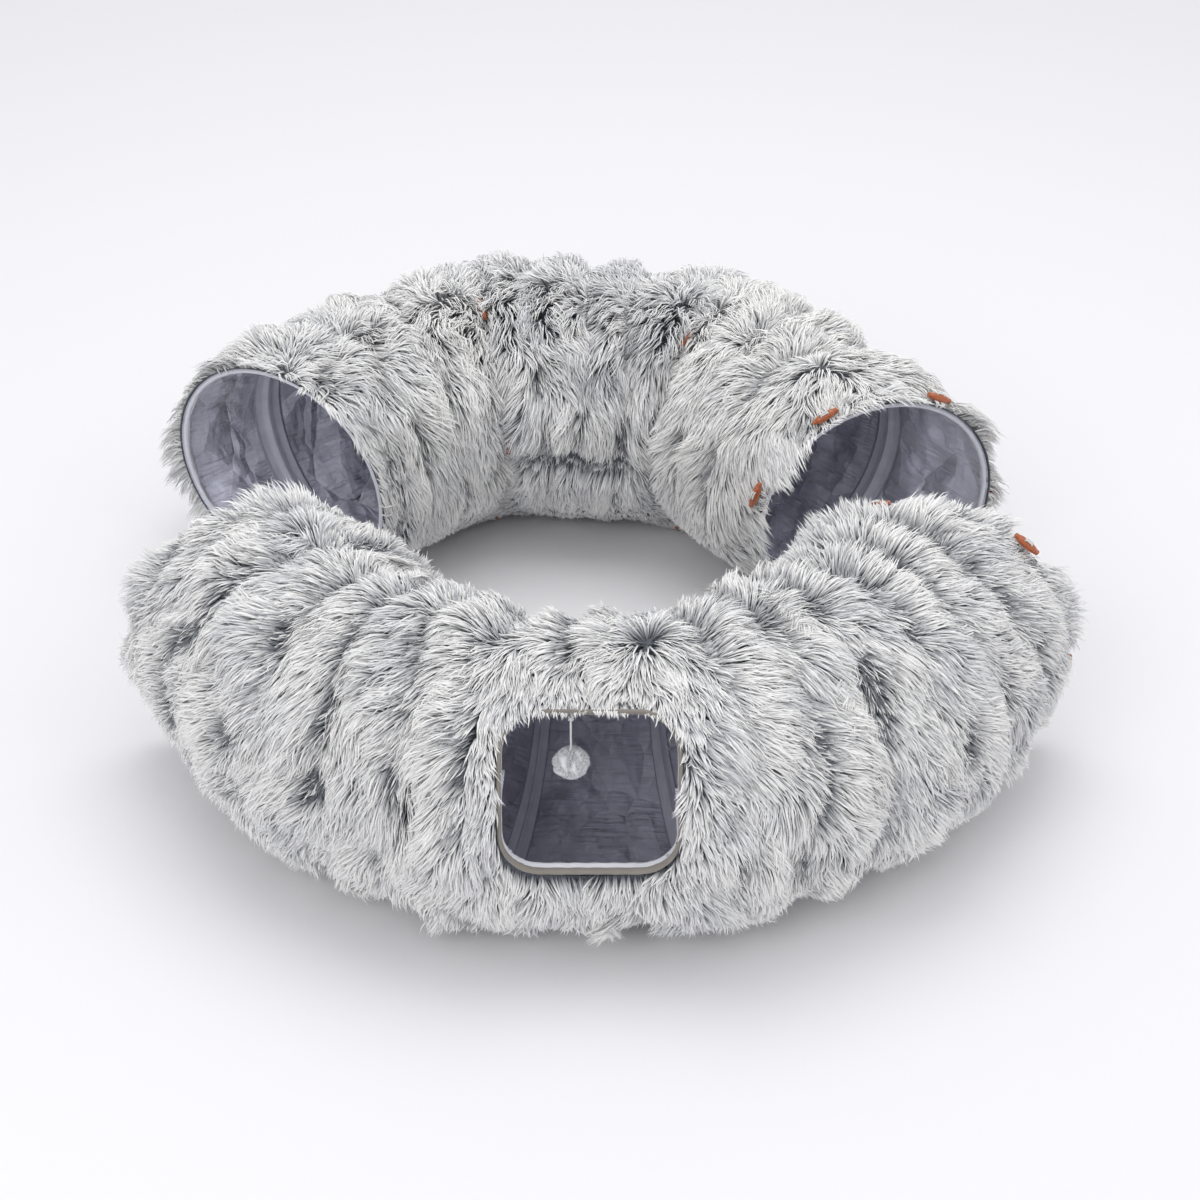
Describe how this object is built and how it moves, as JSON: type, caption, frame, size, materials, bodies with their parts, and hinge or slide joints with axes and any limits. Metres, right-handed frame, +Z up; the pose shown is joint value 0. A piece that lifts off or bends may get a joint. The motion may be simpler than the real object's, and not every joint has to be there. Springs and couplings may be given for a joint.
{
  "type": "cat play tunnel",
  "caption": "Furry cat play tunnel in two curved halves laid as a ring, with wire hoops, silky lining, side door, hanging pom-pom and wooden toggles.",
  "frame": {"origin": "on the floor under the middle of the ring's bounding box", "axes": "+Z up; +X across the ring from the left mouths to the right mouths; +Y from the half with the side door to the rear half"},
  "size_m": [0.958, 0.9436, 0.2923],
  "materials": {
    "grey_faux_fur": "long grey-white pile, dark at the roots",
    "lavender_lining": "silky, crinkled",
    "pale_lavender_tape": "woven tape, matt",
    "beige_binding": "woven binding, matt",
    "spring_wire": "bright drawn spring wire",
    "orange_wood": "stained and lacquered",
    "white_cord": "soft white cord and wool"
  },
  "bodies": {
    "rear_left_mouth": {"rear_hoop_1": "spring_wire", "rear_rim_left": "pale_lavender_tape"},
    "rear_left_hoop": {"rear_hoop_2": "spring_wire", "rear_casing_1": "pale_lavender_tape", "rear_cover_1": "grey_faux_fur"},
    "rear_left_joint": {"rear_hoop_3": "spring_wire", "rear_hoop_4": "spring_wire", "rear_cover_2": "grey_faux_fur", "rear_lining_1": "lavender_lining", "rear_joined_rims_left": "pale_lavender_tape"},
    "rear_middle": {"rear_hoop_5": "spring_wire", "rear_casing_2": "pale_lavender_tape", "rear_cover_3": "grey_faux_fur", "rear_cover_4": "grey_faux_fur", "rear_lining_2": "lavender_lining"},
    "rear_right_joint": {"rear_hoop_6": "spring_wire", "rear_hoop_7": "spring_wire", "rear_cover_5": "grey_faux_fur", "rear_lining_3": "lavender_lining", "rear_joined_rims_right": "pale_lavender_tape"},
    "rear_right_hoop": {"rear_hoop_8": "spring_wire", "rear_casing_3": "pale_lavender_tape", "rear_cover_6": "grey_faux_fur"},
    "rear_right_mouth": {"rear_hoop_9": "spring_wire", "rear_rim_right": "pale_lavender_tape"},
    "front_left_end": {"front_hoop_1": "spring_wire", "front_rim_left": "pale_lavender_tape"},
    "front_left_outer": {"front_hoop_2": "spring_wire", "front_casing_1": "pale_lavender_tape", "front_cover_1": "grey_faux_fur"},
    "front_left_inner": {"front_hoop_3": "spring_wire", "front_casing_2": "pale_lavender_tape", "front_cover_2": "grey_faux_fur"},
    "front_right_inner": {"front_hoop_4": "spring_wire", "front_casing_3": "pale_lavender_tape", "front_cover_4": "grey_faux_fur"},
    "front_right_outer": {"front_hoop_5": "spring_wire", "front_casing_4": "pale_lavender_tape", "front_cover_5": "grey_faux_fur"},
    "front_right_end": {"front_hoop_6": "spring_wire", "front_rim_right": "pale_lavender_tape"},
    "front_middle": {"front_cover_3": "grey_faux_fur", "front_lining": "lavender_lining", "door_binding": "beige_binding"},
    "pompom_knot": {"pompom_knot": "white_cord"},
    "pompom_swing": {"pompom_string": "white_cord", "pompom": "white_cord"},
    "rear_toggle_1": {"rear_toggle_1": "orange_wood"},
    "rear_toggle_2": {"rear_toggle_2": "orange_wood"},
    "rear_toggle_3": {"rear_toggle_3": "orange_wood"},
    "rear_toggle_4": {"rear_toggle_4": "orange_wood"},
    "rear_toggle_5": {"rear_toggle_5": "orange_wood"},
    "rear_toggle_6": {"rear_toggle_6": "orange_wood"},
    "front_toggle_1": {"front_toggle_1": "orange_wood"},
    "front_toggle_2": {"front_toggle_2": "orange_wood"},
    "front_toggle_3": {"front_toggle_3": "orange_wood"},
    "front_toggle_4": {"front_toggle_4": "orange_wood"},
    "front_toggle_5": {"front_toggle_5": "orange_wood"},
    "front_toggle_6": {"front_toggle_6": "orange_wood"}
  },
  "joints": [
    {"name": "rear_left_joint_fold", "type": "hinge", "parent": "rear_middle", "child": "rear_left_joint", "pos_m": [-0.03713, -0.01315, 0.14], "axis": [0, 0, -1], "range_deg": [0, 15], "deforming": ["rear_cover_3", "rear_lining_2"]},
    {"name": "rear_left_hoop_fold", "type": "hinge", "parent": "rear_left_joint", "child": "rear_left_hoop", "pos_m": [-0.03713, -0.01315, 0.14], "axis": [0, 0, -1], "range_deg": [0, 20.67], "deforming": ["rear_cover_2", "rear_lining_1"]},
    {"name": "rear_left_mouth_fold", "type": "hinge", "parent": "rear_left_hoop", "child": "rear_left_mouth", "pos_m": [-0.03713, -0.01315, 0.14], "axis": [0, 0, -1], "range_deg": [0, 9.33], "deforming": ["rear_cover_1"]},
    {"name": "rear_right_joint_fold", "type": "hinge", "parent": "rear_middle", "child": "rear_right_joint", "pos_m": [-0.03713, -0.01315, 0.14], "axis": [0, 0, 1], "range_deg": [0, 15], "deforming": ["rear_cover_4"]},
    {"name": "rear_right_hoop_fold", "type": "hinge", "parent": "rear_right_joint", "child": "rear_right_hoop", "pos_m": [-0.03713, -0.01315, 0.14], "axis": [0, 0, 1], "range_deg": [0, 17.33], "deforming": ["rear_cover_5", "rear_lining_3"]},
    {"name": "rear_right_mouth_fold", "type": "hinge", "parent": "rear_right_hoop", "child": "rear_right_mouth", "pos_m": [-0.03713, -0.01315, 0.14], "axis": [0, 0, 1], "range_deg": [0, 12.67], "deforming": ["rear_cover_6"]},
    {"name": "front_left_inner_fold", "type": "hinge", "parent": "front_middle", "child": "front_left_inner", "pos_m": [0.00387, 0.00985, 0.14], "axis": [0, 0, 1], "range_deg": [0, 9.6], "deforming": ["front_cover_3", "front_lining", "door_binding"]},
    {"name": "front_left_outer_fold", "type": "hinge", "parent": "front_left_inner", "child": "front_left_outer", "pos_m": [0.00387, 0.00985, 0.14], "axis": [0, 0, 1], "range_deg": [0, 19.2], "deforming": ["front_cover_2"]},
    {"name": "front_left_end_fold", "type": "hinge", "parent": "front_left_outer", "child": "front_left_end", "pos_m": [0.00387, 0.00985, 0.14], "axis": [0, 0, 1], "range_deg": [0, 19.2], "deforming": ["front_cover_1"]},
    {"name": "front_right_inner_fold", "type": "hinge", "parent": "front_middle", "child": "front_right_inner", "pos_m": [0.00387, 0.00985, 0.14], "axis": [0, 0, -1], "range_deg": [0, 9.6]},
    {"name": "front_right_outer_fold", "type": "hinge", "parent": "front_right_inner", "child": "front_right_outer", "pos_m": [0.00387, 0.00985, 0.14], "axis": [0, 0, -1], "range_deg": [0, 19.2], "deforming": ["front_cover_4"]},
    {"name": "front_right_end_fold", "type": "hinge", "parent": "front_right_outer", "child": "front_right_end", "pos_m": [0.00387, 0.00985, 0.14], "axis": [0, 0, -1], "range_deg": [0, 19.2], "deforming": ["front_cover_5"]},
    {"name": "halves_slide", "type": "slide", "parent": "rear_middle", "child": "front_middle", "axis": [0, 1, 0], "range_m": [-0.3, 0.06]},
    {"name": "pompom_swing_out", "type": "hinge", "parent": "front_middle", "child": "pompom_knot", "pos_m": [-0.02213, -0.39413, 0.25354], "axis": [1, 0, 0], "range_deg": [-50, 50]},
    {"name": "pompom_swing_side", "type": "hinge", "parent": "pompom_knot", "child": "pompom_swing", "pos_m": [-0.02213, -0.39413, 0.25354], "axis": [0, 1, 0], "range_deg": [-50, 50]},
    {"name": "rear_toggle_1_flip", "type": "hinge", "parent": "rear_right_mouth", "child": "rear_toggle_1", "pos_m": [0.43222, 0.1308, 0.11879], "axis": [-0.1496, -0.0457, -0.9877], "range_deg": [0, 95]},
    {"name": "rear_toggle_2_flip", "type": "hinge", "parent": "rear_right_mouth", "child": "rear_toggle_2", "pos_m": [0.36371, 0.10961, 0.25971], "axis": [0.8521, 0.2605, -0.454], "range_deg": [0, 95]},
    {"name": "rear_toggle_3_flip", "type": "hinge", "parent": "rear_right_mouth", "child": "rear_toggle_3", "pos_m": [0.24676, 0.07343, 0.25968], "axis": [0.8521, 0.2605, 0.454], "range_deg": [0, 95]},
    {"name": "rear_toggle_4_flip", "type": "hinge", "parent": "rear_right_mouth", "child": "rear_toggle_4", "pos_m": [0.18175, 0.05335, 0.18171], "axis": [0.2955, 0.0903, 0.9511], "range_deg": [0, 95]},
    {"name": "rear_toggle_5_flip", "type": "hinge", "parent": "rear_right_mouth", "child": "rear_toggle_5", "pos_m": [0.24676, 0.07343, 0.01992], "axis": [-0.8521, -0.2605, 0.454], "range_deg": [0, 95]},
    {"name": "rear_toggle_6_flip", "type": "hinge", "parent": "rear_right_mouth", "child": "rear_toggle_6", "pos_m": [0.36371, 0.10961, 0.01989], "axis": [-0.8521, -0.2605, -0.454], "range_deg": [0, 95]},
    {"name": "front_toggle_1_flip", "type": "hinge", "parent": "front_right_end", "child": "front_toggle_1", "pos_m": [0.46921, -0.14183, 0.11877], "axis": [0.1488, -0.0483, 0.9877], "range_deg": [0, 95]},
    {"name": "front_toggle_2_flip", "type": "hinge", "parent": "front_right_end", "child": "front_toggle_2", "pos_m": [0.41902, -0.12534, 0.25008], "axis": [-0.7694, 0.25, 0.5878], "range_deg": [0, 95]},
    {"name": "front_toggle_3_flip", "type": "hinge", "parent": "front_right_end", "child": "front_toggle_3", "pos_m": [0.28438, -0.08108, 0.25975], "axis": [-0.8474, 0.2753, -0.454], "range_deg": [0, 95]},
    {"name": "front_toggle_4_flip", "type": "hinge", "parent": "front_right_end", "child": "front_toggle_4", "pos_m": [0.21284, -0.05758, 0.1398], "axis": [0, 0, -1], "range_deg": [0, 95]},
    {"name": "front_toggle_5_flip", "type": "hinge", "parent": "front_right_end", "child": "front_toggle_5", "pos_m": [0.28438, -0.08108, 0.01985], "axis": [0.8474, -0.2753, -0.454], "range_deg": [0, 95]},
    {"name": "front_toggle_6_flip", "type": "hinge", "parent": "front_right_end", "child": "front_toggle_6", "pos_m": [0.4009, -0.11939, 0.01985], "axis": [0.8474, -0.2753, 0.454], "range_deg": [0, 95]}
  ],
  "couplings": [
    {"joint": "rear_left_hoop_fold", "follows": "rear_left_joint_fold", "ratio": 1.3778},
    {"joint": "rear_left_mouth_fold", "follows": "rear_left_joint_fold", "ratio": 0.62222},
    {"joint": "rear_right_joint_fold", "follows": "rear_left_joint_fold", "ratio": 1},
    {"joint": "rear_right_hoop_fold", "follows": "rear_left_joint_fold", "ratio": 1.1556},
    {"joint": "rear_right_mouth_fold", "follows": "rear_left_joint_fold", "ratio": 0.84444},
    {"joint": "front_left_outer_fold", "follows": "front_left_inner_fold", "ratio": 2},
    {"joint": "front_left_end_fold", "follows": "front_left_inner_fold", "ratio": 2},
    {"joint": "front_right_inner_fold", "follows": "front_left_inner_fold", "ratio": 1},
    {"joint": "front_right_outer_fold", "follows": "front_left_inner_fold", "ratio": 2},
    {"joint": "front_right_end_fold", "follows": "front_left_inner_fold", "ratio": 2}
  ]
}
